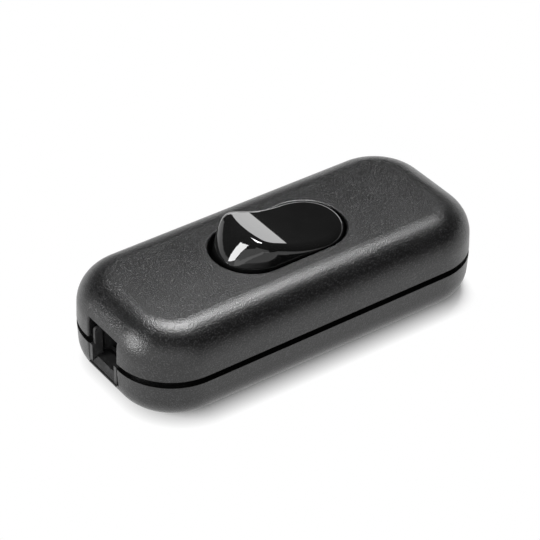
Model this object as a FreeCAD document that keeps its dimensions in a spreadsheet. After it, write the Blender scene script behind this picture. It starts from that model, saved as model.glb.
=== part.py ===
# Inline cord switch: a moulded housing in two halves with a wave-shaped rocker and two snap-action poles.
# The length of the housing runs along X, the underside lies on Z = 0 and a flex enters at both ends.
import FreeCAD, Part
import math
import os
import re
import Sketcher

V = FreeCAD.Vector
doc = FreeCAD.newDocument("inline_cord_switch")
sheet = doc.addObject("Spreadsheet::Sheet", "Sizes")

# Driving sizes, millimetres and degrees
SIZES = {
    # Housing
    "body_length": 83.45,
    "body_width": 36.7,
    "corner_radius": 12.5,
    "base_height": 9.3,
    "shadow_gap": 1.45,
    "cover_height": 9.7,
    "crown_rise": 0.35,
    "top_round": 7.0,
    "bottom_round": 6.0,
    "cover_draft": 2.0,
    "base_draft": 2.5,
    "wall": 2.4,
    "roof": 2.0,
    "floor": 2.0,
    "tongue_setback": 1.6,
    "tongue_engage": 1.5,
    "fit_gap": 0.1,
    "root": 0.5,
    "overcut": 1.0,
    "pilot_room": 0.3,
    # Rocker opening and rocker
    "opening_length": 30.0,
    "opening_width": 17.4,
    "opening_radius": 8.4,
    "opening_round": 0.35,
    "collar_depth": 2.5,
    "collar_wall": 1.2,
    "pivot_height": 15.9,
    "rocker_tilt": 9.0,
    "rocker_length": 27.5,
    "rocker_width": 16.8,
    "end_flat": 0.2,
    "rocker_skirt": 1.0,
    "rocker_wall": 1.5,
    "rocker_roof": 1.9,
    "rocker_round": 1.8,
    "valley_offset": 2.2,
    "valley_height": 6.0,
    "valley_radius": 28.0,
    "press_slope": 13.6,
    "rest_rise": 2.0,
    "hump_overhang": 0.7,
    "hump_flare": 0.35,
    "hump_foot": 2.0,
    "foot_swell": 0.8,
    "shoulder_level": 5.2,
    "shoulder_inset": 1.0,
    "shoulder_narrowing": 0.2,
    "shoulder_flat": 2.0,
    "shoulder_swell": 4.8,
    "brow_level": 9.6,
    "brow_inset": 3.9,
    "brow_narrowing": 0.8,
    "brow_flat": 4.0,
    "brow_swell": 12.4,
    "trunnion_radius": 1.5,
    "trunnion_reach": 10.6,
    "bearing_gap": 0.06,
    "bearing_start": 8.9,
    "bearing_thickness": 2.4,
    "bearing_width": 6.0,
    "bearing_drop": 2.5,
    "bearing_throat": 2.7,
    # Plungers and springs carried by the rocker
    "pole_offset": 4.6,
    "plunger_radius": 1.5,
    "plunger_gap": 0.08,
    "plunger_top": 2.0,
    "plunger_reach": 6.85,
    "tube_radius": 2.6,
    "tube_end": 4.4,
    "tube_depth": 2.6,
    "web_thickness": 1.6,
    "spring_wire": 0.36,
    "spring_radius": 1.2,
    "spring_turns": 4.0,
    "spring_gap": 0.01,
    # Contact rockers on their fulcrums
    "fulcrum_axis": 7.5,
    "fulcrum_radius": 0.5,
    "fulcrum_gap": 0.08,
    "blade_thickness": 1.5,
    "blade_width": 4.8,
    "blade_tail": 8.6,
    "blade_nose": 8.8,
    "blade_tilt": 7.0,
    "tip_offset": 7.0,
    "tip_radius": 1.4,
    "tip_body": 0.3,
    "tip_dome": 0.3,
    "fixed_tip": 0.5,
    "contact_gap": 0.06,
    # Terminals
    "strip_width": 3.4,
    "strip_thickness": 0.8,
    "strip_level": 3.0,
    "shelf_start": 5.2,
    "shelf_end": 11.0,
    "terminal_length": 7.0,
    "terminal_width": 5.4,
    "terminal_height": 7.6,
    "tunnel_width": 3.6,
    "tunnel_height": 4.4,
    "screw_radius": 1.4,
    "screw_reach": 3.4,
    "head_radius": 2.3,
    "head_height": 1.6,
    "slot_width": 0.7,
    "slot_depth": 0.8,
    "thread_gap": 0.05,
    "earth_length": 15.0,
    "earth_width": 4.4,
    "earth_gap": 0.6,
    "earth_level": 4.4,
    "earth_height": 5.8,
    "earth_bore": 1.5,
    "earth_floor": 0.8,
    "earth_screw_offset": 4.6,
    # Ribs moulded in the base
    "rib": 1.2,
    "rib_height": 7.0,
    "nest_height": 5.0,
    "bed_inset": 0.5,
    "chamber_gap": 3.0,
    "chamber_width": 15.2,
    "ledge_offset": 7.0,
    "ledge_width": 1.6,
    "ledge_reach": 1.1,
    # Housing screws and their posts
    "post_gap": 0.25,
    "post_y": 8.8,
    "post_radius": 3.4,
    "boss_radius": 3.2,
    "post_top": 10.0,
    "housing_bore": 1.6,
    "housing_shank": 1.4,
    "housing_reach": 15.0,
    "sink_radius": 2.7,
    "sink_depth": 3.2,
    "housing_head": 2.4,
    "housing_head_height": 2.0,
    # Cord entries, saddles and clamps
    "notch_width": 10.0,
    "notch_rise": 4.85,
    "notch_floor": 4.75,
    "notch_round": 0.35,
    "saddle_gap": 0.2,
    "cheek": 0.9,
    "cheek_outer": 0.15,
    "cheek_inner": 1.9,
    "lobe_top": 13.0,
    "lobe_outer": 0.9,
    "lobe_inner": 2.6,
    "lobe_gap": 0.25,
    "sill_top": 6.2,
    "sill_edge": 5.35,
    "sill_run": 1.0,
    "sill_outer": 0.2,
    "lip_reach": 0.15,
    "lip_level": 5.05,
    "block_start": 3.6,
    "block_length": 6.6,
    "block_relief": 3.2,
    "block_width": 18.0,
    "clamp_level": 11.0,
    "cord_width": 9.2,
    "cord_bed": 5.8,
    "ridge": 0.6,
    "ridge_half": 0.7,
    "ridge_offset": 1.6,
    "bar_width": 5.6,
    "bar_thickness": 2.2,
    "bar_pad": 2.4,
    "pad_inset": 0.8,
    "clamp_shank": 1.1,
    "clamp_hole": 1.3,
    "clamp_reach": 5.5,
    "clamp_head": 2.0,
    "clamp_head_height": 1.3,
}

# Levels and positions that follow from the driving sizes
LEVELS = {
    "half_length": "=body_length / 2",
    "half_width": "=body_width / 2",
    "cover_rim": "=base_height + shadow_gap",
    "cover_edge": "=cover_rim + cover_height",
    "cover_top": "=cover_edge + crown_rise",
    "crown_radius": "=(half_width ^ 2 + crown_rise ^ 2) / (2 * crown_rise)",
    "roof_under": "=cover_edge - roof",
    "tongue_top": "=cover_rim + tongue_engage",
    "seat_radius": "=trunnion_radius + bearing_gap",
    "bore_radius": "=plunger_radius + plunger_gap",
    "terminal_top": "=floor + terminal_height",
    "tip_drop": "=tip_offset * sin(blade_tilt * 1deg) + (tip_body + tip_dome) * cos(blade_tilt * 1deg)",
    "fixed_tip_top": "=fulcrum_axis - tip_drop - contact_gap",
    "shelf_top": "=fixed_tip_top - fixed_tip",
    "ledge_top": "=fulcrum_axis - (ledge_offset + ledge_width / 2) * tan(blade_tilt * 1deg) - contact_gap",
    "saddle_half": "=notch_width / 2 - saddle_gap",
    "clamp_x": "=half_length - block_start - block_length / 2",
    "clamp_screw_offset": "=(cord_width + block_width) / 4",
    "post_x": "=half_length - block_start - block_length - post_gap - post_radius",
    "terminal_offset": "=post_x - post_radius - post_gap - terminal_length / 2",
    "chamber_length": "=2 * (terminal_offset - terminal_length / 2 - chamber_gap)",
    "earth_offset": "=half_width - wall - earth_gap - earth_width / 2",
    "earth_top": "=earth_level + earth_height",
    "rocker_radius": "=rocker_width / 2 - end_flat",
    "foot_bow": "=rocker_radius + foot_swell",
    "shoulder_radius": "=rocker_width / 2 - shoulder_narrowing - shoulder_flat",
    "shoulder_bow": "=shoulder_radius + shoulder_swell",
    "brow_radius": "=rocker_width / 2 - brow_narrowing - brow_flat",
    "brow_bow": "=brow_radius + brow_swell",
    "rest_slope": "=rocker_tilt + rest_rise",
    "valley_run": "=valley_radius * tan((rest_slope + press_slope) / 2 * 1deg)",
    "rocker_reach": "=rocker_length / 2 + overcut",
    "press_end": "=valley_height + (rocker_reach + valley_offset) * tan(press_slope * 1deg)",
    "hollow_roof": "=valley_height - rocker_roof",
    "bar_top": "=clamp_level + bar_thickness",
}

for row, (alias, value) in enumerate(list(SIZES.items()) + list(LEVELS.items()), 1):
    sheet.set("A%d" % row, alias)
    sheet.set("B%d" % row, str(value))
    sheet.setAlias("B%d" % row, alias)
doc.recompute()

WORD = re.compile(r"\b(?!(?:sin|cos|tan|sqrt)\b)([a-z][a-z_]+)\b")


def from_sheet(text):
    return WORD.sub(r"Sizes.\1", str(text))


def number(text):
    return float(sheet.evalExpression(from_sheet(text)))


def bind(thing, prop, text):
    thing.setExpression(prop, from_sheet(text))


def place(thing, x="0", y="0", z="0"):
    bind(thing, "Placement.Base.x", x)
    bind(thing, "Placement.Base.y", y)
    bind(thing, "Placement.Base.z", z)
    return thing


# Plain solids with their sizes bound to the sheet
def box(name, length, width, height, x="0", y="0", z="0"):
    thing = doc.addObject("Part::Box", name)
    bind(thing, "Length", length)
    bind(thing, "Width", width)
    bind(thing, "Height", height)
    return place(thing, "%s - (%s) / 2" % (x, length), "%s - (%s) / 2" % (y, width), z)


def cylinder(name, radius, height, x="0", y="0", z="0", axis=None):
    thing = doc.addObject("Part::Cylinder", name)
    bind(thing, "Radius", radius)
    bind(thing, "Height", height)
    if axis:
        thing.Placement = FreeCAD.Placement(V(), FreeCAD.Rotation(V(0, 0, 1), axis))
    return place(thing, x, y, z)


def fuse(name, *things):
    result = doc.addObject("Part::MultiFuse", name)
    result.Shapes = list(things)
    return result


def cut(name, base, *tools):
    result = doc.addObject("Part::Cut", name)
    result.Base = base
    result.Tool = tools[0] if len(tools) == 1 else fuse(name + "_tools", *tools)
    return result


# Sketches and features of the moulded pieces
def new_sketch(body, name, role, offset="0"):
    sketch = body.newObject("Sketcher::SketchObject", name)
    for feature in body.Origin.OriginFeatures:
        if feature.Role == role:
            sketch.AttachmentSupport = [(feature, "")]
    sketch.MapMode = "FlatFace"
    bind(sketch, "AttachmentOffset.Base.z", offset)
    return sketch


def constrain(sketch, *args, size=None):
    index = sketch.addConstraint(Sketcher.Constraint(*args))
    if size is not None:
        bind(sketch, "Constraints[%d]" % index, size)


def rounded_rectangle(sketch, length, width, radius):
    a, b, r = number(length) / 2, number(width) / 2, number(radius)
    n = sketch.GeometryCount
    turn = math.pi / 2

    def line(x0, y0, x1, y1):
        return Part.LineSegment(V(x0, y0, 0), V(x1, y1, 0))

    def corner(x, y, start):
        return Part.ArcOfCircle(Part.Circle(V(x, y, 0), V(0, 0, 1), r), start, start + turn)

    sketch.addGeometry([
        line(r - a, -b, a - r, -b), corner(a - r, r - b, 3 * turn),
        line(a, r - b, a, b - r), corner(a - r, b - r, 0),
        line(a - r, b, r - a, b), corner(r - a, b - r, turn),
        line(-a, b - r, -a, r - b), corner(r - a, r - b, 2 * turn),
    ], False)
    for i in range(8):
        constrain(sketch, "Tangent", n + i, 2, n + (i + 1) % 8, 1)
    for i in (0, 4):
        constrain(sketch, "Horizontal", n + i)
        constrain(sketch, "Vertical", n + i + 2)
    for i in (1, 3, 5):
        constrain(sketch, "Equal", n + i, n + i + 2)
    constrain(sketch, "Symmetric", n, 1, n + 4, 1, -1, 1)
    constrain(sketch, "DistanceX", n + 6, 1, n + 2, 1, 2 * a, size=length)
    constrain(sketch, "DistanceY", n, 1, n + 4, 2, 2 * b, size=width)
    constrain(sketch, "Radius", n + 1, r, size=radius)


# Outline with a width and a corner radius of its own at each end and tangent sides; the left end is bowed
def tapered_outline(sketch, left, right, left_width, right_width, left_radius, right_radius, bow):
    n = sketch.GeometryCount
    r0, r1, r2 = number(left_radius), number(right_radius), number(bow)
    c2 = V(number(left) + r2, 0, 0)
    reach = number(left_width) / 2 - r0
    c0 = V(c2.x - math.sqrt((r2 - r0) ** 2 - reach ** 2), reach, 0)
    c1 = V(number(right) - r1, number(right_width) / 2 - r1, 0)
    span = c1 - c0
    lean = math.atan2(span.y, span.x) + math.acos((r0 - r1) / span.Length)
    side = V(math.cos(lean), math.sin(lean), 0)

    def mirrored(p):
        return V(p.x, -p.y, 0)

    def corner(centre, radius, start, stop):
        return Part.ArcOfCircle(Part.Circle(centre, V(0, 0, 1), radius), start, stop)

    t0, t1 = c0 + side * r0, c1 + side * r1
    x1 = c1.x + r1
    swing = math.atan2(c0.y, c0.x - c2.x)
    sketch.addGeometry([
        Part.LineSegment(mirrored(t0), mirrored(t1)), corner(mirrored(c1), r1, -lean, 0),
        Part.LineSegment(V(x1, -c1.y, 0), V(x1, c1.y, 0)), corner(c1, r1, 0, lean),
        Part.LineSegment(t1, t0), corner(c0, r0, lean, swing),
        corner(c2, r2, swing, 2 * math.pi - swing),
        corner(mirrored(c0), r0, 2 * math.pi - swing, 2 * math.pi - lean),
    ], False)
    for i in range(8):
        constrain(sketch, "Tangent", n + i, 2, n + (i + 1) % 8, 1)
    constrain(sketch, "Vertical", n + 2)
    constrain(sketch, "Equal", n + 1, n + 3)
    constrain(sketch, "Equal", n + 5, n + 7)
    constrain(sketch, "Radius", n + 3, r1, size=right_radius)
    constrain(sketch, "Radius", n + 5, r0, size=left_radius)
    constrain(sketch, "Radius", n + 6, r2, size=bow)
    constrain(sketch, "DistanceX", -1, 1, n + 6, 3, c2.x, size="%s + (%s)" % (left, bow))
    constrain(sketch, "DistanceY", -1, 1, n + 6, 3, 0.0)
    constrain(sketch, "DistanceX", -1, 1, n + 2, 1, x1, size=right)
    for i, side_of, width, radius in (
        (1, "-", right_width, right_radius), (3, "", right_width, right_radius),
        (5, "", left_width, left_radius), (7, "-", left_width, left_radius),
    ):
        level = "%s((%s) / 2 - (%s))" % (side_of, width, radius)
        constrain(sketch, "DistanceY", -1, 1, n + i, 3, number(level), size=level)


# Closed outline through points; rounds gives the radius of each side that is an arc, turning left
def polygon(sketch, points, rounds={}):
    n = sketch.GeometryCount
    at = [V(number(x), number(y), 0) for x, y in points]
    count = len(at)
    for i in range(count):
        start, stop = at[i], at[(i + 1) % count]
        side = Part.LineSegment(start, stop)
        if i in rounds:
            radius = number(rounds[i])
            chord = stop - start
            rise = math.sqrt(radius ** 2 - (chord.Length / 2) ** 2) / chord.Length
            centre = (start + stop) / 2 + V(-chord.y, chord.x, 0) * rise
            angles = [math.atan2(p.y - centre.y, p.x - centre.x) for p in (start, stop)]
            side = Part.ArcOfCircle(Part.Circle(centre, V(0, 0, 1), radius), *angles)
        sketch.addGeometry(side, False)
    for i in range(count):
        constrain(sketch, "Coincident", n + i, 2, n + (i + 1) % count, 1)
    for i, (x, y) in enumerate(points):
        constrain(sketch, "DistanceX", -1, 1, n + i, 1, at[i].x, size=x)
        constrain(sketch, "DistanceY", -1, 1, n + i, 1, at[i].y, size=y)
    for i, radius in rounds.items():
        constrain(sketch, "Radius", n + i, number(radius), size=radius)


def rectangle(sketch, length, width, x="0", y="0"):
    left, right = "%s - (%s) / 2" % (x, length), "%s + (%s) / 2" % (x, length)
    near, far = "%s - (%s) / 2" % (y, width), "%s + (%s) / 2" % (y, width)
    polygon(sketch, [(left, near), (right, near), (right, far), (left, far)])


def circle(sketch, radius, x="0", y="0"):
    n = sketch.GeometryCount
    sketch.addGeometry(Part.Circle(V(number(x), number(y), 0), V(0, 0, 1), number(radius)), False)
    constrain(sketch, "DistanceX", -1, 1, n, 3, number(x), size=x)
    constrain(sketch, "DistanceY", -1, 1, n, 3, number(y), size=y)
    constrain(sketch, "Radius", n, number(radius), size=radius)


def feature(body, kind, sketch, length, reverse=False, both=False, taper=None):
    result = body.newObject("PartDesign::" + kind, sketch.Name + "_" + kind.lower())
    result.Profile = sketch
    result.Reversed = reverse
    if both:
        result.SideType = "Symmetric"
    bind(result, "Length", length)
    if taper is not None:
        bind(result, "TaperAngle", taper)
    sketch.Visibility = False
    doc.recompute()
    return result


def round_edges(body, name, radius, wanted):
    tip = body.Tip
    edges = ["Edge%d" % (i + 1) for i, edge in enumerate(tip.Shape.Edges) if wanted(edge)]
    result = body.newObject("PartDesign::Fillet", name)
    result.Base = (tip, edges)
    bind(result, "Radius", radius)
    doc.recompute()
    return result


def near(value, text, tolerance=0.02):
    return abs(value - number(text)) < tolerance


def level_edges(text):
    return lambda edge: near(edge.BoundBox.ZMin, text) and near(edge.BoundBox.ZMax, text)


def notch_edges(edge):
    box_of = edge.BoundBox
    if min(abs(box_of.XMin), abs(box_of.XMax)) < number("half_length - tongue_setback / 2"):
        return False
    if box_of.ZLength < number("tongue_engage"):
        return False
    return near(abs(edge.CenterOfMass.y), "notch_width / 2", 0.05) and box_of.YLength < 0.1


# Base shell: a drafted tray with a rounded foot edge and a set-back tongue that makes the shadow gap
base = doc.addObject("PartDesign::Body", "base_shell")
outline = new_sketch(base, "base_outline", "XY_Plane", "base_height")
rounded_rectangle(outline, "body_length", "body_width", "corner_radius")
feature(base, "Pad", outline, "base_height", reverse=True, taper="-base_draft")
round_edges(base, "foot_round", "bottom_round", level_edges("0"))
cavity = new_sketch(base, "base_cavity", "XY_Plane", "base_height")
rounded_rectangle(cavity, "body_length - 2 * wall", "body_width - 2 * wall", "corner_radius - wall")
feature(base, "Pocket", cavity, "base_height - floor", taper="-base_draft")
round_edges(base, "tray_round", "bottom_round - wall", level_edges("floor"))
tongue = new_sketch(base, "tongue", "XY_Plane", "base_height")
setback = "2 * tongue_setback"
rounded_rectangle(tongue, "body_length - " + setback, "body_width - " + setback,
                  "corner_radius - tongue_setback")
rounded_rectangle(tongue, "body_length - 2 * wall", "body_width - 2 * wall", "corner_radius - wall")
feature(base, "Pad", tongue, "tongue_top - base_height")

# Notches in the end walls that take the cord saddles
notch = new_sketch(base, "base_notch", "YZ_Plane")
notch_height = "(tongue_top + overcut - notch_floor)"
rectangle(notch, "notch_width", notch_height, y="notch_floor + %s / 2" % notch_height)
feature(base, "Pocket", notch, "body_length + 2 * overcut", both=True)
round_edges(base, "base_notch_round", "notch_round", notch_edges)

# Chamber ribs, partition between the poles, strip beds and the ledges that stop the contact rockers
ribs = new_sketch(base, "chamber_ribs", "XY_Plane", "floor - root")
rectangle(ribs, "chamber_length", "rib")
for side in ("", "-"):
    rectangle(ribs, "chamber_length", "rib", y=side + "(chamber_width / 2 + rib / 2)")
feature(base, "Pad", ribs, "rib_height + root")
beds = new_sketch(base, "strip_beds", "XY_Plane", "floor - root")
for side in ("", "-"):
    rectangle(beds, "chamber_length", "strip_width - 2 * bed_inset", y=side + "pole_offset")
feature(base, "Pad", beds, "strip_level - floor + root")
shelves = new_sketch(base, "shelf_beds", "XY_Plane", "floor - root")
for side in ("", "-"):
    rectangle(shelves, "shelf_end - shelf_start - strip_thickness - 2 * bed_inset",
              "strip_width - 2 * bed_inset",
              x="(shelf_end + shelf_start - strip_thickness) / 2", y=side + "pole_offset")
feature(base, "Pad", shelves, "shelf_top - strip_thickness - floor + root")
ledges = new_sketch(base, "stop_ledges", "XY_Plane", "floor - root")
for side in ("", "-"):
    rectangle(ledges, "ledge_width", "ledge_reach + root", x="-ledge_offset",
              y=side + "(chamber_width / 2 - ledge_reach / 2 + root / 2)")
feature(base, "Pad", ledges, "ledge_top - floor + root")
nest = new_sketch(base, "earth_nest", "XY_Plane", "floor - root")
for side in ("", "-"):
    rectangle(nest, "rib", "earth_width", x=side + "(earth_length / 2 + fit_gap + rib / 2)",
              y="earth_offset")
feature(base, "Pad", nest, "nest_height + root")
earth_bed = new_sketch(base, "earth_bed", "XY_Plane", "floor - root")
rectangle(earth_bed, "earth_length - 2 * bed_inset", "earth_width - 2 * bed_inset", y="earth_offset")
feature(base, "Pad", earth_bed, "earth_level - floor + root")

# Posts for the two housing screws, with heads sunk in the underside
posts = new_sketch(base, "posts", "XY_Plane", "floor - root")
circle(posts, "post_radius", "-post_x", "-post_y")
circle(posts, "post_radius", "post_x", "post_y")
feature(base, "Pad", posts, "post_top - floor + root")
bores = new_sketch(base, "post_bores", "XY_Plane", "post_top + overcut")
circle(bores, "housing_bore", "-post_x", "-post_y")
circle(bores, "housing_bore", "post_x", "post_y")
feature(base, "Pocket", bores, "post_top + 2 * overcut")
sinks = new_sketch(base, "post_sinks", "XY_Plane")
circle(sinks, "sink_radius", "-post_x", "-post_y")
circle(sinks, "sink_radius", "post_x", "post_y")
feature(base, "Pocket", sinks, "sink_depth", reverse=True)

# Cover shell: crowned roof, large top round, rebate over the tongue
cover = doc.addObject("PartDesign::Body", "cover_shell")
outline = new_sketch(cover, "cover_outline", "XY_Plane", "cover_rim")
rounded_rectangle(outline, "body_length", "body_width", "corner_radius")
feature(cover, "Pad", outline, "cover_height + crown_rise", taper="-cover_draft")
crown = new_sketch(cover, "crown", "YZ_Plane")
half, edge_z, radius = number("half_width"), number("cover_edge"), number("crown_radius")
head_z = number("cover_top + overcut")
sweep = math.asin(half / radius)
middle = math.pi / 2
rim_arc = Part.Circle(V(0, edge_z + number("crown_rise") - radius, 0), V(0, 0, 1), radius)
crown.addGeometry([
    Part.ArcOfCircle(rim_arc, middle - sweep, middle + sweep),
    Part.LineSegment(V(-half, edge_z, 0), V(-half, head_z, 0)),
    Part.LineSegment(V(-half, head_z, 0), V(half, head_z, 0)),
    Part.LineSegment(V(half, head_z, 0), V(half, edge_z, 0)),
], False)
constrain(crown, "Coincident", 0, 2, 1, 1)
constrain(crown, "Coincident", 1, 2, 2, 1)
constrain(crown, "Coincident", 2, 2, 3, 1)
constrain(crown, "Coincident", 3, 2, 0, 1)
constrain(crown, "Vertical", 1)
constrain(crown, "Horizontal", 2)
constrain(crown, "Vertical", 3)
constrain(crown, "DistanceX", -1, 1, 1, 1, -half, size="-half_width")
constrain(crown, "DistanceY", -1, 1, 1, 1, edge_z, size="cover_edge")
constrain(crown, "DistanceX", -1, 1, 3, 2, half, size="half_width")
constrain(crown, "DistanceY", -1, 1, 1, 2, head_z, size="cover_top + overcut")
constrain(crown, "Radius", 0, radius, size="crown_radius")
constrain(crown, "DistanceX", -1, 1, 0, 3, 0.0)
feature(cover, "Pocket", crown, "body_length + 2 * overcut", both=True)
round_edges(cover, "top_edge_round", "top_round",
            lambda edge: edge.BoundBox.ZMin > number("cover_edge - crown_rise"))
cavity = new_sketch(cover, "cover_cavity", "XY_Plane", "cover_rim")
rounded_rectangle(cavity, "body_length - 2 * wall", "body_width - 2 * wall", "corner_radius - wall")
feature(cover, "Pocket", cavity, "roof_under - cover_rim", reverse=True, taper="-cover_draft")
round_edges(cover, "roof_round", "top_round - wall", level_edges("roof_under"))
rebate = new_sketch(cover, "rebate", "XY_Plane", "cover_rim")
setback = "2 * (tongue_setback - fit_gap)"
rounded_rectangle(rebate, "body_length - " + setback, "body_width - " + setback,
                  "corner_radius - tongue_setback + fit_gap")
feature(cover, "Pocket", rebate, "tongue_engage", reverse=True)
notch = new_sketch(cover, "cover_notch", "YZ_Plane")
rectangle(notch, "notch_width", "notch_rise + overcut", y="cover_rim + (notch_rise - overcut) / 2")
feature(cover, "Pocket", notch, "body_length + 2 * overcut", both=True)
round_edges(cover, "cover_notch_round", "notch_round", notch_edges)

# Collar round the rocker opening, bearings for the rocker and bosses for the housing screws
collar = new_sketch(cover, "collar", "XY_Plane", "roof_under + root")
rounded_rectangle(collar, "opening_length + 2 * collar_wall", "opening_width + 2 * collar_wall",
                  "opening_radius + collar_wall")
feature(cover, "Pad", collar, "collar_depth + root", reverse=True)
bearings = new_sketch(cover, "bearings", "XY_Plane", "roof_under + root")
for side in ("", "-"):
    rectangle(bearings, "bearing_width", "bearing_thickness",
              y=side + "(bearing_start + bearing_thickness / 2)")
feature(cover, "Pad", bearings, "roof_under + root - pivot_height + bearing_drop", reverse=True)
bosses = new_sketch(cover, "bosses", "XY_Plane", "roof_under + root")
circle(bosses, "boss_radius", "-post_x", "-post_y")
circle(bosses, "boss_radius", "post_x", "post_y")
feature(cover, "Pad", bosses, "roof_under + root - post_top", reverse=True)
pilots = new_sketch(cover, "pilots", "XY_Plane", "post_top")
circle(pilots, "housing_shank + thread_gap", "-post_x", "-post_y")
circle(pilots, "housing_shank + thread_gap", "post_x", "post_y")
feature(cover, "Pocket", pilots, "housing_reach - post_top + pilot_room", reverse=True)
opening = new_sketch(cover, "opening", "XY_Plane", "cover_top + overcut")
rounded_rectangle(opening, "opening_length", "opening_width", "opening_radius")
feature(cover, "Pocket", opening, "cover_top - pivot_height + bearing_drop + 2 * overcut")
seats = new_sketch(cover, "trunnion_seats", "XZ_Plane")
circle(seats, "seat_radius", "0", "pivot_height")
feature(cover, "Pocket", seats, "2 * (trunnion_reach + pilot_room)", both=True)
throats = new_sketch(cover, "bearing_throats", "XZ_Plane")
rectangle(throats, "bearing_throat", "bearing_drop + overcut",
          y="pivot_height - (bearing_drop + overcut) / 2")
feature(cover, "Pocket", throats, "2 * (trunnion_reach + pilot_room)", both=True)
round_edges(cover, "opening_edge", "opening_round",
            lambda edge: edge.BoundBox.ZMin > number("cover_edge")
            and abs(edge.CenterOfMass.x) < number("opening_length / 2 + fit_gap"))


# Rocker, drawn about its own pivot: a stadium that leans back into a finger hump, cut on top by a wave
def tilt(thing):
    thing.Placement = FreeCAD.Placement(V(), FreeCAD.Rotation(V(0, 1, 0), number("rocker_tilt")))
    bind(thing, "Placement.Base.z", "pivot_height")
    bind(thing, "Placement.Rotation.Angle", "rocker_tilt")
    return thing


rocker = doc.addObject("PartDesign::Body", "rocker")
sections = []
for name, level, inset, narrowing, radius, bow in (
    ("skirt_section", "-rocker_skirt", "-hump_flare", "0", "rocker_radius", "foot_bow"),
    ("foot_section", "hump_foot", "0", "0", "rocker_radius", "foot_bow"),
    ("shoulder_section", "shoulder_level", "shoulder_inset", "shoulder_narrowing", "shoulder_radius",
     "shoulder_bow"),
    ("brow_section", "brow_level", "brow_inset", "brow_narrowing", "brow_radius", "brow_bow"),
):
    section = new_sketch(rocker, name, "XY_Plane", level)
    tapered_outline(section, "-rocker_length / 2 - hump_overhang + (%s)" % inset, "rocker_length / 2",
                    "rocker_width - 2 * " + narrowing, "rocker_width", radius, "rocker_radius", bow)
    section.Visibility = False
    sections.append(section)
blank = rocker.newObject("PartDesign::AdditiveLoft", "rocker_blank")
blank.Profile = sections[0]
blank.Sections = sections[1:]
doc.recompute()

# The wave: one half lies level with the cover when it is pressed, the other rises to the brow of the hump
wave = new_sketch(rocker, "wave", "XZ_Plane")
rise = "valley_height + "
polygon(wave, [
    ("-rocker_reach", "press_end"),
    ("valley_offset - valley_run * cos(press_slope * 1deg)",
     rise + "valley_run * sin(press_slope * 1deg)"),
    ("valley_offset + valley_run * cos(rest_slope * 1deg)",
     rise + "valley_run * sin(rest_slope * 1deg)"),
    ("rocker_reach", rise + "(rocker_reach - valley_offset) * tan(rest_slope * 1deg)"),
    ("rocker_reach", "press_end + overcut"),
    ("-rocker_reach", "press_end + overcut"),
], rounds={1: "valley_radius"})
feature(rocker, "Pocket", wave, "rocker_width + 2 * overcut", both=True)


def faces_up(face):
    u0, u1, v0, v1 = face.ParameterRange
    return face.normalAt((u0 + u1) / 2, (v0 + v1) / 2).z > 0.9


tops = [face for face in rocker.Tip.Shape.Faces if faces_up(face)]
round_edges(rocker, "rocker_edge", "rocker_round",
            lambda edge: sum(edge.isSame(other) for face in tops for other in face.Edges) == 1)

# Hollow of the rocker, cross web, plunger tubes and trunnions
hollow = new_sketch(rocker, "rocker_hollow", "XY_Plane", "-rocker_skirt")
rounded_rectangle(hollow, "rocker_length - 2 * rocker_wall", "rocker_width - 2 * rocker_wall",
                  "rocker_radius - rocker_wall")
feature(rocker, "Pocket", hollow, "hollow_roof + rocker_skirt", reverse=True)
web = new_sketch(rocker, "cross_web", "XY_Plane", "hollow_roof + root")
rectangle(web, "web_thickness", "rocker_width - 2 * root")
feature(rocker, "Pad", web, "hollow_roof + root + rocker_skirt", reverse=True)
tubes = new_sketch(rocker, "plunger_tubes", "XY_Plane", "hollow_roof + root")
for side in ("", "-"):
    circle(tubes, "tube_radius", y=side + "pole_offset")
feature(rocker, "Pad", tubes, "hollow_roof + root + tube_end", reverse=True)
bores = new_sketch(rocker, "tube_bores", "XY_Plane", "-tube_end")
for side in ("", "-"):
    circle(bores, "bore_radius", y=side + "pole_offset")
feature(rocker, "Pocket", bores, "tube_end + tube_depth", reverse=True)
trunnions = new_sketch(rocker, "trunnions", "XZ_Plane", "rocker_width / 2 - root")
circle(trunnions, "trunnion_radius")
feature(rocker, "Pad", trunnions, "trunnion_reach - rocker_width / 2 + root")
trunnions = new_sketch(rocker, "far_trunnion", "XZ_Plane", "-(rocker_width / 2 - root)")
circle(trunnions, "trunnion_radius")
feature(rocker, "Pad", trunnions, "trunnion_reach - rocker_width / 2 + root", reverse=True)
tilt(rocker)

nodes = {"base_shell": base, "cover_shell": cover, "rocker": rocker}

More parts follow.
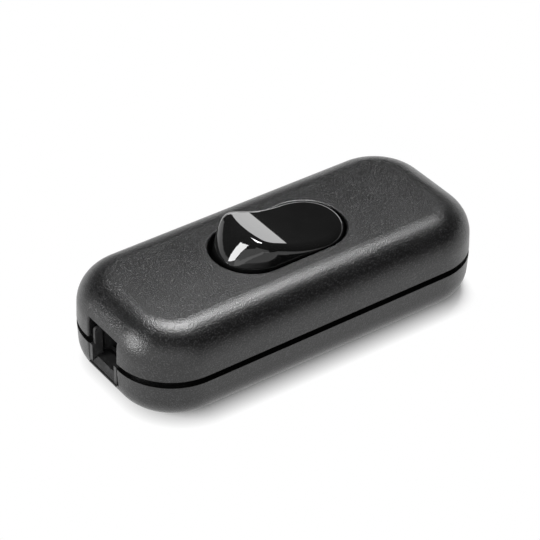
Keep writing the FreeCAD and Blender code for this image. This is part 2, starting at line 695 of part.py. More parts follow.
# The two poles: live on +Y, neutral on -Y
for pole, side in (("live", ""), ("neutral", "-")):
    lane = side + "pole_offset"

    # Plunger pin with a round tip, sliding in its tube under the rocker
    shank = cylinder("shank_" + pole, "plunger_radius", "plunger_reach - plunger_top - plunger_radius",
                     y=lane, z="-plunger_reach + plunger_radius")
    ball = doc.addObject("Part::Sphere", "tip_" + pole)
    bind(ball, "Radius", "plunger_radius")
    place(ball, "0", lane, "-plunger_reach + plunger_radius")
    nodes["plunger_" + pole] = tilt(fuse("plunger_" + pole, shank, ball))

    # Coil spring between the plunger and the end of its bore
    coil = doc.addObject("Part::Helix", "coil_" + pole)
    bind(coil, "Pitch", "(tube_depth + plunger_top - spring_wire - 2 * spring_gap) / spring_turns")
    bind(coil, "Height", "tube_depth + plunger_top - spring_wire - 2 * spring_gap")
    bind(coil, "Radius", "spring_radius")
    place(coil, "0", lane, "-plunger_top + spring_wire / 2 + spring_gap")
    wire = doc.addObject("Part::RegularPolygon", "wire_" + pole)
    wire.Polygon = 6
    bind(wire, "Circumradius", "spring_wire / 2")
    wire.Placement = FreeCAD.Placement(V(), FreeCAD.Rotation(V(1, 0, 0), 90))
    place(wire, "spring_radius", lane, "-plunger_top + spring_wire / 2 + spring_gap")
    doc.recompute()
    spring = doc.addObject("Part::Sweep", "plunger_spring_" + pole)
    spring.Sections = [wire]
    spring.Spine = (coil, ["Edge%d" % (i + 1) for i in range(len(coil.Shape.Edges))])
    spring.Solid = True
    spring.Frenet = True
    nodes["plunger_spring_" + pole] = tilt(spring)

    # Contact rocker: a coined lever with a half-round groove over the fulcrum, drawn about that axis
    lever = box("lever_" + pole, "blade_tail + blade_nose", "blade_width", "blade_thickness",
                x="(blade_nose - blade_tail) / 2")
    groove = cylinder("groove_" + pole, "fulcrum_radius + fulcrum_gap", "blade_width + 2 * overcut",
                      y="blade_width / 2 + overcut", axis=V(0, -1, 0))
    blade = cut("contact_rocker_" + pole, lever, groove)
    blade.Placement = FreeCAD.Placement(V(), FreeCAD.Rotation(V(0, 1, 0), -number("blade_tilt")))
    place(blade, "0", lane, "fulcrum_axis")
    bind(blade, "Placement.Rotation.Angle", "-blade_tilt")
    nodes["contact_rocker_" + pole] = blade

    # Silver tip riveted under the nose of the contact rocker
    stem = cylinder("moving_stem_" + pole, "tip_radius", "tip_body", x="tip_offset", z="-tip_body")
    dome = doc.addObject("Part::Cone", "moving_dome_" + pole)
    bind(dome, "Radius1", "tip_radius * 0.45")
    bind(dome, "Radius2", "tip_radius")
    bind(dome, "Height", "tip_dome")
    place(dome, "tip_offset", "0", "-tip_body - tip_dome")
    tip = fuse("moving_contact_tip_" + pole, stem, dome)
    tip.Placement = FreeCAD.Placement(V(), FreeCAD.Rotation(V(0, 1, 0), -number("blade_tilt")))
    place(tip, "0", lane, "fulcrum_axis")
    bind(tip, "Placement.Rotation.Angle", "-blade_tilt")
    nodes["moving_contact_tip_" + pole] = tip

    # Fulcrum terminal: a strip from the inlet clamp that turns up into the round-edged fulcrum
    strip = box("inlet_strip_" + pole, "terminal_offset + terminal_length / 2 + fulcrum_radius",
                "strip_width",
                "strip_thickness", x="(fulcrum_radius - terminal_offset - terminal_length / 2) / 2",
                y=lane, z="strip_level")
    post = box("fulcrum_post_" + pole, "2 * fulcrum_radius", "strip_width", "fulcrum_axis - strip_level",
               y=lane, z="strip_level")
    crest_bar = cylinder("fulcrum_edge_" + pole, "fulcrum_radius", "strip_width",
                         y=lane + " + strip_width / 2", z="fulcrum_axis", axis=V(0, -1, 0))
    nodes["fulcrum_terminal_" + pole] = fuse("fulcrum_terminal_" + pole, strip, post, crest_bar)

    # Fixed contact: a strip from the outlet clamp that steps up to a shelf under the moving tip
    strip = box("outlet_strip_" + pole,
                "terminal_offset + terminal_length / 2 - shelf_end + strip_thickness",
                "strip_width", "strip_thickness",
                x="(terminal_offset + terminal_length / 2 + shelf_end - strip_thickness) / 2", y=lane,
                z="strip_level")
    riser = box("outlet_riser_" + pole, "strip_thickness", "strip_width", "shelf_top - strip_level",
                x="shelf_end - strip_thickness / 2", y=lane, z="strip_level")
    shelf = box("outlet_shelf_" + pole, "shelf_end - shelf_start", "strip_width", "strip_thickness",
                x="(shelf_end + shelf_start) / 2", y=lane, z="shelf_top - strip_thickness")
    nodes["fixed_contact_" + pole] = fuse("fixed_contact_" + pole, strip, riser, shelf)

    # Silver tip riveted on the shelf
    nodes["fixed_contact_tip_" + pole] = cylinder("fixed_contact_tip_" + pole, "tip_radius",
                                                  "fixed_tip_top - shelf_top", "tip_offset", lane,
                                                  "shelf_top")

    # Box clamps at the two ends of the pole
    for end_name, way in (("inlet", "-"), ("outlet", "")):
        centre = way + "terminal_offset"
        name = "%s_clamp_%s" % (end_name, pole)
        frame = box("frame_" + name, "terminal_length", "terminal_width", "terminal_height", centre,
                    lane, "floor")
        tunnel = box("tunnel_" + name, "terminal_length + 2 * overcut", "tunnel_width", "tunnel_height",
                     centre, lane, "strip_level")
        thread = cylinder("thread_" + name, "screw_radius + thread_gap", "terminal_height", centre, lane,
                          "strip_level + tunnel_height / 2")
        nodes["%s_terminal_%s" % (end_name, pole)] = cut("%s_terminal_%s" % (end_name, pole), frame,
                                                         tunnel, thread)

# Earth terminal: a through block with one wire bore and two screws
wire_level = "earth_level + earth_floor + earth_bore"
block = box("earth_block", "earth_length", "earth_width", "earth_height", "0", "earth_offset",
            "earth_level")
bore = cylinder("earth_wire_bore", "earth_bore", "earth_length + 2 * overcut",
                "-earth_length / 2 - overcut", "earth_offset", wire_level, axis=V(1, 0, 0))
threads = [cylinder("earth_thread", "screw_radius + thread_gap", "earth_height",
                    way + "earth_screw_offset", "earth_offset", wire_level) for way in ("", "-")]
nodes["earth_terminal"] = cut("earth_terminal", block, bore, *threads)


# Slotted cheese-head screw standing on a level, its shank reaching down
def screw(name, head, head_height, shank, length, x, y, level):
    cap = cylinder(name + "_head", head, head_height, x, y, level)
    stem = cylinder(name + "_shank", shank, "%s + %s / 2" % (length, head_height), x, y,
                    "%s - (%s)" % (level, length))
    slot = box(name + "_slot", "2 * (%s + overcut)" % head, "slot_width", "slot_depth + overcut", x, y,
               "%s + %s - slot_depth" % (level, head_height))
    return cut(name, fuse(name + "_blank", cap, stem), slot)


def group(label, things):
    result = doc.addObject("Part::Compound", label)
    result.Links = things
    nodes[label] = result


group("terminal_screws", [
    screw("terminal_screw", "head_radius", "head_height", "screw_radius", "screw_reach", x, y,
          "terminal_top")
    for x in ("-terminal_offset", "terminal_offset") for y in ("pole_offset", "-pole_offset")
])
group("earth_screws", [
    screw("earth_screw", "head_radius", "head_height", "screw_radius", "screw_reach", x, "earth_offset",
          "earth_top")
    for x in ("-earth_screw_offset", "earth_screw_offset")
])

# Housing screws, driven from below with their heads in the sunk bores
driven = []
for x, y in (("-post_x", "-post_y"), ("post_x", "post_y")):
    cap = cylinder("housing_head", "housing_head", "housing_head_height", x, y,
                   "sink_depth - housing_head_height")
    stem = cylinder("housing_stem", "housing_shank",
                    "housing_reach - sink_depth + housing_head_height / 2",
                    x, y, "sink_depth - housing_head_height / 2")
    slot = box("housing_slot", "2 * (housing_head + overcut)", "slot_width", "slot_depth + overcut", x, y,
               "sink_depth - housing_head_height - overcut")
    driven.append(cut("housing_screw", fuse("housing_blank", cap, stem), slot))
group("housing_screws", driven)

# Cord saddles, drawn for the inlet end and turned about for the outlet
clamp_screws = []
for end_name, way, turn in (("inlet", "-", 0), ("outlet", "", 180)):
    saddle = doc.addObject("PartDesign::Body", end_name + "_cord_saddle")
    cheeks = new_sketch(saddle, "cheeks", "XZ_Plane")
    rectangle(cheeks, "cheek_inner - cheek_outer", "base_height - notch_floor",
              x="-half_length + (cheek_inner + cheek_outer) / 2", y="(base_height + notch_floor) / 2")
    feature(saddle, "Pad", cheeks, "2 * saddle_half", both=True)
    lobes = new_sketch(saddle, "lobes", "XZ_Plane")
    rectangle(lobes, "lobe_inner - lobe_outer", "lobe_top - notch_floor",
              x="-half_length + (lobe_inner + lobe_outer) / 2", y="(lobe_top + notch_floor) / 2")
    feature(saddle, "Pad", lobes, "2 * (saddle_half - lobe_gap)", both=True)
    round_edges(saddle, "lobe_round", "(lobe_inner - lobe_outer) / 2 - fit_gap / 2",
                lambda edge: near(edge.BoundBox.ZMin, "lobe_top") and edge.BoundBox.XLength < 0.01)
    throat = new_sketch(saddle, "throat", "YZ_Plane", "-half_length + cheek_outer - overcut")
    rectangle(throat, "2 * (saddle_half - cheek)", "lobe_top", y="notch_floor + lobe_top / 2")
    feature(saddle, "Pocket", throat, "lobe_inner + 2 * overcut", reverse=True)
    block = new_sketch(saddle, "clamp_block", "XZ_Plane")
    outer_x, inner_x = "-half_length + block_start", "-half_length + block_start + block_length"
    polygon(block, [
        (outer_x, "clamp_level"), (outer_x, "floor + block_relief"),
        (outer_x + " + block_relief", "floor"),
        (inner_x, "floor"), (inner_x, "clamp_level"),
    ])
    feature(saddle, "Pad", block, "block_width", both=True)
    channel = new_sketch(saddle, "cord_channel", "YZ_Plane", "-half_length + block_start - overcut")
    rectangle(channel, "cord_width", "clamp_level", y="cord_bed + clamp_level / 2")
    feature(saddle, "Pocket", channel, "block_length + 2 * overcut", reverse=True)
    ridges = new_sketch(saddle, "grip_ridges", "XZ_Plane")
    for offset in ("-", ""):
        middle_x = "-clamp_x %s ridge_offset" % (offset or "+")
        polygon(ridges, [(middle_x + " - ridge_half", "cord_bed - ridge / 2"),
                         (middle_x + " + ridge_half", "cord_bed - ridge / 2"),
                         (middle_x, "cord_bed + ridge")])
    feature(saddle, "Pad", ridges, "cord_width + root", both=True)
    sill = new_sketch(saddle, "sill", "XZ_Plane")
    polygon(sill, [
        ("-half_length + block_start + root", "notch_floor"),
        ("-half_length + block_start + root", "sill_top"),
        ("-half_length + sill_outer + sill_run", "sill_top"), ("-half_length + sill_outer", "sill_edge"),
        ("-half_length + sill_outer", "lip_level"), ("-half_length - lip_reach", "lip_level"),
        ("-half_length - lip_reach", "notch_floor"),
    ])
    feature(saddle, "Pad", sill, "2 * saddle_half", both=True)
    pilots = new_sketch(saddle, "clamp_pilots", "XY_Plane", "clamp_level")
    for side in ("", "-"):
        circle(pilots, "clamp_shank + thread_gap", "-clamp_x", side + "clamp_screw_offset")
    feature(saddle, "Pocket", pilots, "clamp_reach + pilot_room")
    saddle.Placement = FreeCAD.Placement(V(), FreeCAD.Rotation(V(0, 0, 1), turn))
    nodes[end_name + "_cord_saddle"] = saddle

    # Clamp bar with a ridged pad, screwed down on the posts of the saddle
    centre = way + "clamp_x"
    bar = box(end_name + "_bar", "bar_width", "block_width", "bar_thickness", centre, "0", "clamp_level")
    pad = box(end_name + "_pad", "bar_width - 2 * pad_inset", "cord_width - pad_inset",
              "bar_pad + bar_thickness / 2", centre, "0", "clamp_level - bar_pad")
    holes = [cylinder(end_name + "_hole", "clamp_hole", "bar_thickness + 2 * overcut", centre,
                      side + "clamp_screw_offset", "clamp_level - overcut") for side in ("", "-")]
    nodes[end_name + "_cord_clamp"] = cut(end_name + "_cord_clamp",
                                          fuse(end_name + "_bar_blank", bar, pad), *holes)
    clamp_screws += [
        screw("clamp_screw", "clamp_head", "clamp_head_height", "clamp_shank",
              "bar_thickness + clamp_reach", centre,
              side + "clamp_screw_offset", "bar_top") for side in ("", "-")
    ]
group("clamp_screws", clamp_screws)
doc.recompute()

# Check every object, then write one file for each piece
for thing in doc.Objects:
    if "Invalid" in thing.State or "Error" in thing.State:
        raise RuntimeError("%s: %s" % (thing.Label, thing.State))
os.makedirs("parts", exist_ok=True)
for label, thing in nodes.items():
    thing.Label = label
    if thing.Shape.isNull() or not thing.Shape.isValid():
        raise RuntimeError("bad shape: " + label)
    thing.Shape.exportStep("parts/%s.step" % label)
    print(label, len(thing.Shape.Solids), round(thing.Shape.Volume, 1))
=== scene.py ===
import math
import bpy
from mathutils import Matrix, Vector


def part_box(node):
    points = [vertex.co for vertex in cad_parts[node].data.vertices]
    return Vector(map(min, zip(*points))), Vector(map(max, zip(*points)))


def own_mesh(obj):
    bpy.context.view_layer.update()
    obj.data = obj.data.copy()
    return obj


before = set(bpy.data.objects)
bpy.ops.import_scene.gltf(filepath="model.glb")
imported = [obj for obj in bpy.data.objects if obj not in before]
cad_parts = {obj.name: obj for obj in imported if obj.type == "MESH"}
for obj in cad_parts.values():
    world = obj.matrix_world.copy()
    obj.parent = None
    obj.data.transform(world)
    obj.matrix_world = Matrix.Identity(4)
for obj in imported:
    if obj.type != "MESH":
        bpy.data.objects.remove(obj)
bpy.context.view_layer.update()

# Base shell: the lower half of the housing, a black tray moulded in one shot.
# Its mould is spark eroded, which leaves a fine even grain all over the outside.
# A tongue stands up from its rim and closes the shadow gap under the cover.
base_rim = 0.0093
tongue_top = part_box("base_shell")[1][2]


# A shared effect that puts out a tint, a roughness and a normal.
def effect_group(name, inputs):
    group = bpy.data.node_groups.new(name, "ShaderNodeTree")
    outputs = {"Tint": "Color", "Rough": "Float", "Normal": "Vector"}
    for in_out, sockets in (("INPUT", inputs), ("OUTPUT", outputs)):
        for socket, kind in sockets.items():
            group.interface.new_socket(socket, in_out=in_out, socket_type="NodeSocket" + kind)
    return group


# One pattern sets where the dark and light tints lie, one how the gloss drifts, one the relief.
def lay_patterns(group, given, patches, patch_limits, drift, relief, relief_depth):
    nodes, links = group.nodes, group.links
    put_out = nodes.new("NodeGroupOutput")
    patch = nodes.new("ShaderNodeMapRange")
    patch.inputs["From Min"].default_value = patch_limits[0]
    patch.inputs["From Max"].default_value = patch_limits[1]
    links.new(patches.outputs["Fac"], patch.inputs["Value"])
    tint = nodes.new("ShaderNodeMix")
    tint.data_type = "RGBA"
    links.new(patch.outputs["Result"], tint.inputs["Factor"])
    links.new(given.outputs["Dark"], tint.inputs["A"])
    links.new(given.outputs["Light"], tint.inputs["B"])
    links.new(tint.outputs["Result"], put_out.inputs["Tint"])
    sheen = nodes.new("ShaderNodeMapRange")
    sheen.inputs["From Min"].default_value = 0.3
    sheen.inputs["From Max"].default_value = 0.7
    links.new(drift.outputs["Fac"], sheen.inputs["Value"])
    links.new(given.outputs["Smooth"], sheen.inputs["To Min"])
    links.new(given.outputs["Matte"], sheen.inputs["To Max"])
    links.new(sheen.outputs["Result"], put_out.inputs["Rough"])
    bump = nodes.new("ShaderNodeBump")
    bump.inputs["Distance"].default_value = relief_depth
    links.new(given.outputs["Depth"], bump.inputs["Strength"])
    links.new(relief.outputs["Fac"], bump.inputs["Height"])
    links.new(bump.outputs["Normal"], put_out.inputs["Normal"])


grain = effect_group("spark_grain", {"Dark": "Color", "Light": "Color", "Smooth": "Float",
                                     "Matte": "Float", "Grain size": "Float", "Depth": "Float"})
nodes, links = grain.nodes, grain.links
given = nodes.new("NodeGroupInput")
place = nodes.new("ShaderNodeTexCoord")
pits = nodes.new("ShaderNodeTexNoise")
pits.inputs["Detail"].default_value = 1
pits.inputs["Roughness"].default_value = 0.65
links.new(place.outputs["Object"], pits.inputs["Vector"])
links.new(given.outputs["Grain size"], pits.inputs["Scale"])
flow = nodes.new("ShaderNodeTexNoise")
flow.inputs["Scale"].default_value = 70
flow.inputs["Detail"].default_value = 3
links.new(place.outputs["Object"], flow.inputs["Vector"])
lay_patterns(grain, given, patches=pits, patch_limits=(0.52, 0.66), drift=flow, relief=pits,
             relief_depth=0.00007)


# A material whose colour, roughness and normal come from one of the effects.
def surface(name, group, metallic=0, ior=1.5, **values):
    material = bpy.data.materials.new(name)
    material.use_nodes = True
    nodes, links = material.node_tree.nodes, material.node_tree.links
    skin = nodes["Principled BSDF"]
    skin.inputs["Metallic"].default_value = metallic
    skin.inputs["IOR"].default_value = ior
    effect = nodes.new("ShaderNodeGroup")
    effect.node_tree = group
    for socket, value in values.items():
        effect.inputs[socket.replace("_", " ")].default_value = value
    for output, socket in (("Tint", "Base Color"), ("Rough", "Roughness"), ("Normal", "Normal")):
        links.new(effect.outputs[output], skin.inputs[socket])
    return material


# Gives the named pieces this material and no other.
def dress(material, *names):
    for name in names:
        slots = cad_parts[name].data.materials
        slots.clear()
        slots.append(material)


# The tongue and the rims that face the shadow gap lie in deep shade, so that band of heights is painted
# nearly black as shade.
def shell_with_painted_gap_shade(name, gap_low, gap_high):
    material = surface(name, grain, ior=1.58, Dark=(0.001, 0.001, 0.0011, 1), Light=(0.033, 0.033, 0.034, 1),
                       Smooth=0.29, Matte=0.33, Grain_size=3800.0, Depth=1.0)
    nodes, links = material.node_tree.nodes, material.node_tree.links
    where = nodes.new("ShaderNodeTexCoord")
    axes = nodes.new("ShaderNodeSeparateXYZ")
    links.new(where.outputs["Object"], axes.inputs["Vector"])
    inside = nodes.new("ShaderNodeMath")
    inside.operation = "COMPARE"
    inside.inputs[1].default_value = (gap_low + gap_high) / 2
    inside.inputs[2].default_value = (gap_high - gap_low) / 2
    links.new(axes.outputs["Z"], inside.inputs[0])
    # Painted shade: inside the band of heights the base colour is mixed to near black.
    shade = nodes.new("ShaderNodeMix")
    shade.data_type = "RGBA"
    shade.inputs["B"].default_value = (0.002, 0.002, 0.002, 1)
    links.new(inside.outputs["Value"], shade.inputs["Factor"])
    colour = nodes["Principled BSDF"].inputs["Base Color"]
    links.new(colour.links[0].from_socket, shade.inputs["A"])
    links.new(shade.outputs["Result"], colour)
    return material


# A hair's breadth, so that a face right on the limit lies inside it.
hair = 0.00001
# The base's rim and tongue get painted shade in the shadow gap.
dress(shell_with_painted_gap_shade("base_black", base_rim - hair, tongue_top + hair), "base_shell")

# Cord saddles and clamp bars: smooth satin black mouldings that sit in the ends of the tray.
# Two screws pull each bar down on the cord.
satin = surface("moulded_black", grain, Dark=(0.03, 0.03, 0.03, 1), Light=(0.05, 0.05, 0.051, 1),
                Smooth=0.34, Matte=0.46, Grain_size=900.0, Depth=0.08)
dress(satin, "inlet_cord_saddle", "outlet_cord_saddle", "inlet_cord_clamp", "outlet_cord_clamp")

# Terminals, strips and contact rockers: the strips and rockers are stamped from rolled brass sheet,
# the wire clamps and the earth block are cut from drawn brass bar.
# Rolling and drawing leave fine lines along the metal, and handling leaves a light tarnish.
metal = effect_group("worked_metal", {"Dark": "Color", "Light": "Color", "Smooth": "Float",
                                      "Matte": "Float", "Line size": "Vector", "Depth": "Float"})
nodes, links = metal.nodes, metal.links
given = nodes.new("NodeGroupInput")
place = nodes.new("ShaderNodeTexCoord")
stretch = nodes.new("ShaderNodeVectorMath")
stretch.operation = "MULTIPLY"
links.new(place.outputs["Object"], stretch.inputs[0])
links.new(given.outputs["Line size"], stretch.inputs[1])
lines = nodes.new("ShaderNodeTexNoise")
lines.inputs["Scale"].default_value = 1
lines.inputs["Detail"].default_value = 3
links.new(stretch.outputs["Vector"], lines.inputs["Vector"])
tarnish = nodes.new("ShaderNodeTexNoise")
tarnish.inputs["Scale"].default_value = 260
tarnish.inputs["Detail"].default_value = 5
links.new(place.outputs["Object"], tarnish.inputs["Vector"])
lay_patterns(metal, given, patches=tarnish, patch_limits=(0.32, 0.62), drift=lines, relief=lines,
             relief_depth=0.00003)
brass = surface("brass", metal, metallic=1, Dark=(0.42, 0.29, 0.12, 1), Light=(0.68, 0.5, 0.24, 1),
                Smooth=0.2, Matte=0.38, Line_size=(160.0, 4200.0, 4200.0), Depth=0.2)
poles = ("live", "neutral")
dress(brass, "earth_terminal")
for pole in poles:
    dress(brass, "fulcrum_terminal_" + pole, "fixed_contact_" + pole, "contact_rocker_" + pole)
    dress(brass, "inlet_terminal_" + pole, "outlet_terminal_" + pole)

# Contact tips: silver alloy rivets, headed cold into the contact rockers and the fixed strips.
# Tumbling leaves them dull, with no lines in any one direction.
silver = surface("silver_alloy", metal, metallic=1, Dark=(0.6, 0.58, 0.54, 1), Light=(0.86, 0.85, 0.83, 1),
                 Smooth=0.22, Matte=0.45, Line_size=(3000.0, 3000.0, 3000.0), Depth=0.15)
for pole in poles:
    dress(silver, "moving_contact_tip_" + pole, "fixed_contact_tip_" + pole)

# Screws: zinc-plated steel with turned heads and sawn slots.
# They close the wire clamps, hold down the clamp bars and join the halves from below.
zinc = surface("zinc_plate", metal, metallic=1, Dark=(0.46, 0.47, 0.49, 1), Light=(0.68, 0.69, 0.7, 1),
               Smooth=0.22, Matte=0.4, Line_size=(2200.0, 2200.0, 5200.0), Depth=0.2)
dress(zinc, "terminal_screws", "earth_screws", "housing_screws", "clamp_screws")

# Cover shell: the upper half of the housing, from the same grained mould finish.
# A rebate inside its rim drops over the tongue of the base and leaves the shadow gap.
cover_rim = 0.01075
# The cover's rim and rebate over the shadow gap get the same painted shade.
dress(shell_with_painted_gap_shade("cover_black", base_rim, cover_rim + 2 * hair), "cover_shell")

# Rocker: a separate black moulding from a polished mould, snapped into the cover by its trunnions.
# Handling leaves a faint haze on the polish, and moulding a slight ripple, seen only in reflections.
polish = effect_group("polished_face", {})
nodes, links = polish.nodes, polish.links
put_out = nodes.new("NodeGroupOutput")
place = nodes.new("ShaderNodeTexCoord")
haze = nodes.new("ShaderNodeTexNoise")
haze.inputs["Scale"].default_value = 160
haze.inputs["Detail"].default_value = 4
links.new(place.outputs["Object"], haze.inputs["Vector"])
tint = nodes.new("ShaderNodeMapRange")
tint.inputs["To Min"].default_value = 0.003
tint.inputs["To Max"].default_value = 0.008
links.new(haze.outputs["Fac"], tint.inputs["Value"])
links.new(tint.outputs["Result"], put_out.inputs["Tint"])
gleam = nodes.new("ShaderNodeMapRange")
gleam.inputs["From Min"].default_value = 0.35
gleam.inputs["From Max"].default_value = 0.7
gleam.inputs["To Min"].default_value = 0.018
gleam.inputs["To Max"].default_value = 0.035
links.new(haze.outputs["Fac"], gleam.inputs["Value"])
links.new(gleam.outputs["Result"], put_out.inputs["Rough"])
ripple = nodes.new("ShaderNodeTexNoise")
ripple.inputs["Scale"].default_value = 420
ripple.inputs["Detail"].default_value = 1
links.new(place.outputs["Object"], ripple.inputs["Vector"])
bump = nodes.new("ShaderNodeBump")
bump.inputs["Strength"].default_value = 0.02
bump.inputs["Distance"].default_value = 0.00005
links.new(ripple.outputs["Fac"], bump.inputs["Height"])
links.new(bump.outputs["Normal"], put_out.inputs["Normal"])
dress(surface("rocker_gloss", polish, ior=1.52), "rocker")

# Plungers: white acetal pins turned on the lathe, one in each tube under the rocker.
# Each bears on its contact rocker with a rounded nose. Light sinks a little way into the plastic.
acetal = surface("acetal_white", grain, Dark=(0.7, 0.69, 0.64, 1), Light=(0.8, 0.79, 0.75, 1),
                 Smooth=0.25, Matte=0.42, Grain_size=1400.0, Depth=0.1)
skin = acetal.node_tree.nodes["Principled BSDF"]
skin.inputs["Subsurface Weight"].default_value = 0.15
skin.inputs["Subsurface Radius"].default_value = (0.001, 0.001, 0.0008)
for pole in poles:
    dress(acetal, "plunger_" + pole)

# Plunger springs: coiled from drawn spring-steel wire, dark from tempering.
# Each is pressed shorter against the closed end of its tube as its plunger slides up.
temper = surface("spring_wire", metal, metallic=1, Dark=(0.3, 0.29, 0.29, 1), Light=(0.56, 0.55, 0.54, 1),
                 Smooth=0.2, Matte=0.36, Line_size=(900.0, 900.0, 900.0), Depth=0.1)
for pole in poles:
    dress(temper, "plunger_spring_" + pole)
    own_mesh(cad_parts["plunger_spring_" + pole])

# Camera: a long lens at the front left, a little above, where the photograph was taken from.
# Its angles, distance and shift lay the housing's outline on the outline in the photograph.
azimuth, elevation, roll = math.radians(-36.113), math.radians(36.753), math.radians(-0.806)
aim_height, distance = 0.00949, 0.4716
photo_width, focal_pixels, sensor_width = 540, 2329.63, 36
level = math.cos(elevation)
back = Vector((math.sin(azimuth) * level, -math.cos(azimuth) * level, math.sin(elevation)))
right = Vector((math.cos(azimuth), math.sin(azimuth), 0))
up = back.cross(right)
turned_right = right * math.cos(roll) - up * math.sin(roll)
turned_up = right * math.sin(roll) + up * math.cos(roll)
facing = Matrix((turned_right, turned_up, back)).transposed().to_4x4()
camera = bpy.data.objects.new("camera", bpy.data.cameras.new("camera"))
bpy.context.scene.collection.objects.link(camera)
camera.matrix_world = Matrix.Translation(Vector((0, 0, aim_height)) + back * distance) @ facing
camera.data.sensor_width = sensor_width
camera.data.lens = sensor_width * focal_pixels / photo_width
camera.data.shift_x = -0.01285
camera.data.shift_y = 0.0211
camera.data.clip_start = 0.01
bpy.context.scene.camera = camera

# Floor: a sheet of white paper that runs out of view on all sides.
# It shows plain white, and lets its own lamp shading through only in a painted zone close around the foot,
# so the shadow's reach is painted.
# That painted zone is drawn a little towards the outlet, away from the window, and fades across the outline.
corner_radius = 0.0125
painted_shadow_drift = 0.0022
fade_inside, fade_outside = 0.0042, 0.0021
mirrored_white = 0.85
half_length, half_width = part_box("base_shell")[1][:2]
bpy.ops.object.select_all(action="DESELECT")
bpy.ops.mesh.primitive_plane_add(size=4, location=(0, 0, 0))
floor = bpy.context.object
floor.name = "floor"
paper = bpy.data.materials.new("paper")
paper.use_nodes = True
nodes, links = paper.node_tree.nodes, paper.node_tree.links
sheet = nodes["Principled BSDF"]
sheet.inputs["Base Color"].default_value = (0.85, 0.85, 0.85, 1)
sheet.inputs["Roughness"].default_value = 0.9
place = nodes.new("ShaderNodeTexCoord")
# Painted shadow: the zone's centre is moved towards the outlet.
drifted = nodes.new("ShaderNodeVectorMath")
drifted.operation = "SUBTRACT"
drifted.inputs[1].default_value = (painted_shadow_drift, 0, 0)
links.new(place.outputs["Object"], drifted.inputs[0])
# The outline is measured in one quarter, from the centre of its rounded corner.
quarter = nodes.new("ShaderNodeVectorMath")
quarter.operation = "ABSOLUTE"
links.new(drifted.outputs["Vector"], quarter.inputs[0])
beyond = nodes.new("ShaderNodeVectorMath")
beyond.operation = "SUBTRACT"
beyond.inputs[1].default_value = (half_length - corner_radius, half_width - corner_radius, 0)
links.new(quarter.outputs["Vector"], beyond.inputs[0])
outside = nodes.new("ShaderNodeVectorMath")
outside.operation = "MAXIMUM"
links.new(beyond.outputs["Vector"], outside.inputs[0])
reach = nodes.new("ShaderNodeVectorMath")
reach.operation = "LENGTH"
links.new(outside.outputs["Vector"], reach.inputs[0])
# Painted shadow zone: camera rays see the floor's own shading near the outline and plain white further out.
painted_shadow_zone = nodes.new("ShaderNodeMapRange")
painted_shadow_zone.inputs["From Min"].default_value = corner_radius - fade_inside
painted_shadow_zone.inputs["From Max"].default_value = corner_radius + fade_outside
links.new(reach.outputs["Value"], painted_shadow_zone.inputs["Value"])
ray = nodes.new("ShaderNodeLightPath")
seen = nodes.new("ShaderNodeMath")
seen.operation = "MULTIPLY"
links.new(ray.outputs["Is Camera Ray"], seen.inputs[0])
links.new(painted_shadow_zone.outputs["Result"], seen.inputs[1])
mirrored = nodes.new("ShaderNodeMath")
mirrored.operation = "MAXIMUM"
links.new(ray.outputs["Is Glossy Ray"], mirrored.inputs[0])
links.new(ray.outputs["Is Transmission Ray"], mirrored.inputs[1])
near_white = nodes.new("ShaderNodeMath")
near_white.operation = "MULTIPLY"
near_white.inputs[1].default_value = mirrored_white
links.new(mirrored.outputs["Value"], near_white.inputs[0])
share = nodes.new("ShaderNodeMath")
share.operation = "MAXIMUM"
links.new(seen.outputs["Value"], share.inputs[0])
links.new(near_white.outputs["Value"], share.inputs[1])
white = nodes.new("ShaderNodeEmission")
blend = nodes.new("ShaderNodeMixShader")
links.new(share.outputs["Value"], blend.inputs["Fac"])
links.new(sheet.outputs["BSDF"], blend.inputs[1])
links.new(white.outputs["Emission"], blend.inputs[2])
links.new(blend.outputs["Shader"], nodes["Material Output"].inputs["Surface"])
floor.data.materials.append(paper)

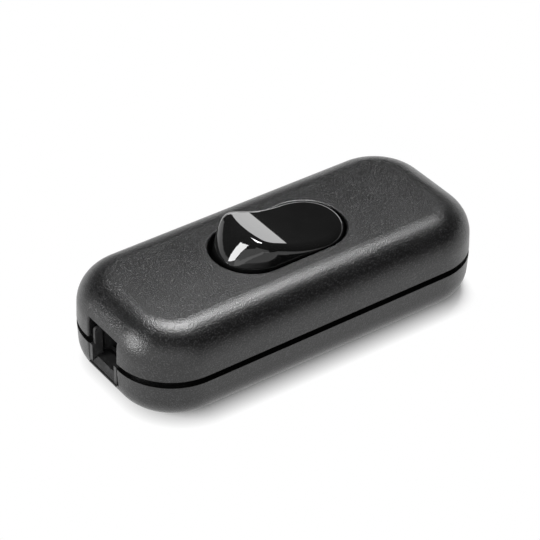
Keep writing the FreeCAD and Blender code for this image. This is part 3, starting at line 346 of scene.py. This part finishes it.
# Studio light: a soft box overhead, a tall window to the left, a lit strip of backdrop at the back
# and a large white card beside the camera. Each is given by where it stands, its size and its radiance.
for name, azimuth, elevation, distance, roll, size, radiance in (
    ("soft_box", 47, 71, 0.9, 0, (0.38, 0.24), 37.0),
    ("window", 163, 18.5, 0.8, 12, (0.19, 0.42), 18.0),
    ("backdrop_strip", 41, 2.7, 1.0, 0, (0.8, 0.153), 1.8),
    ("white_card", -138, 16, 0.9, 0, (2.0, 0.7), 1.05),
):
    lamp = bpy.data.lights.new(name, "AREA")
    lamp.shape = "RECTANGLE"
    lamp.size, lamp.size_y = size
    lamp.energy = radiance * math.pi * size[0] * size[1]
    light = bpy.data.objects.new(name, lamp)
    bpy.context.scene.collection.objects.link(light)
    turn, lift = math.radians(azimuth), math.radians(elevation)
    towards = Vector((math.cos(lift) * math.cos(turn), math.cos(lift) * math.sin(turn), math.sin(lift)))
    light.location = towards * distance
    facing = (-towards).to_track_quat("-Z", "Y").to_matrix()
    light.rotation_euler = (facing @ Matrix.Rotation(math.radians(roll), 3, "Z")).to_euler()
    light.visible_camera = False

# Surroundings: a white studio to the camera and, up to a few degrees above level, to reflections.
# Higher up, and to all other light, it is a dim room.
# The two limits are heights on a sphere of radius one.
white_below, dim_above = 0.07, 0.1
room_light = 0.05
world = bpy.data.worlds.new("studio")
bpy.context.scene.world = world
world.use_nodes = True
nodes, links = world.node_tree.nodes, world.node_tree.links
sky = nodes["Background"]
sky.inputs["Color"].default_value = (1, 1, 1, 1)
ray = nodes.new("ShaderNodeLightPath")
mirrored = nodes.new("ShaderNodeMath")
mirrored.operation = "MAXIMUM"
links.new(ray.outputs["Is Glossy Ray"], mirrored.inputs[0])
links.new(ray.outputs["Is Transmission Ray"], mirrored.inputs[1])
looking = nodes.new("ShaderNodeNewGeometry")
axes = nodes.new("ShaderNodeSeparateXYZ")
links.new(looking.outputs["Incoming"], axes.inputs["Vector"])
low = nodes.new("ShaderNodeMapRange")
low.inputs["From Min"].default_value = -dim_above
low.inputs["From Max"].default_value = -white_below
links.new(axes.outputs["Z"], low.inputs["Value"])
backdrop = nodes.new("ShaderNodeMath")
backdrop.operation = "MULTIPLY"
links.new(mirrored.outputs["Value"], backdrop.inputs[0])
links.new(low.outputs["Result"], backdrop.inputs[1])
shown = nodes.new("ShaderNodeMath")
shown.operation = "MAXIMUM"
links.new(ray.outputs["Is Camera Ray"], shown.inputs[0])
links.new(backdrop.outputs["Value"], shown.inputs[1])
strength = nodes.new("ShaderNodeMapRange")
strength.inputs["To Min"].default_value = room_light
links.new(shown.outputs["Value"], strength.inputs["Value"])
links.new(strength.outputs["Result"], sky.inputs["Strength"])

bpy.context.scene.view_settings.view_transform = "Standard"
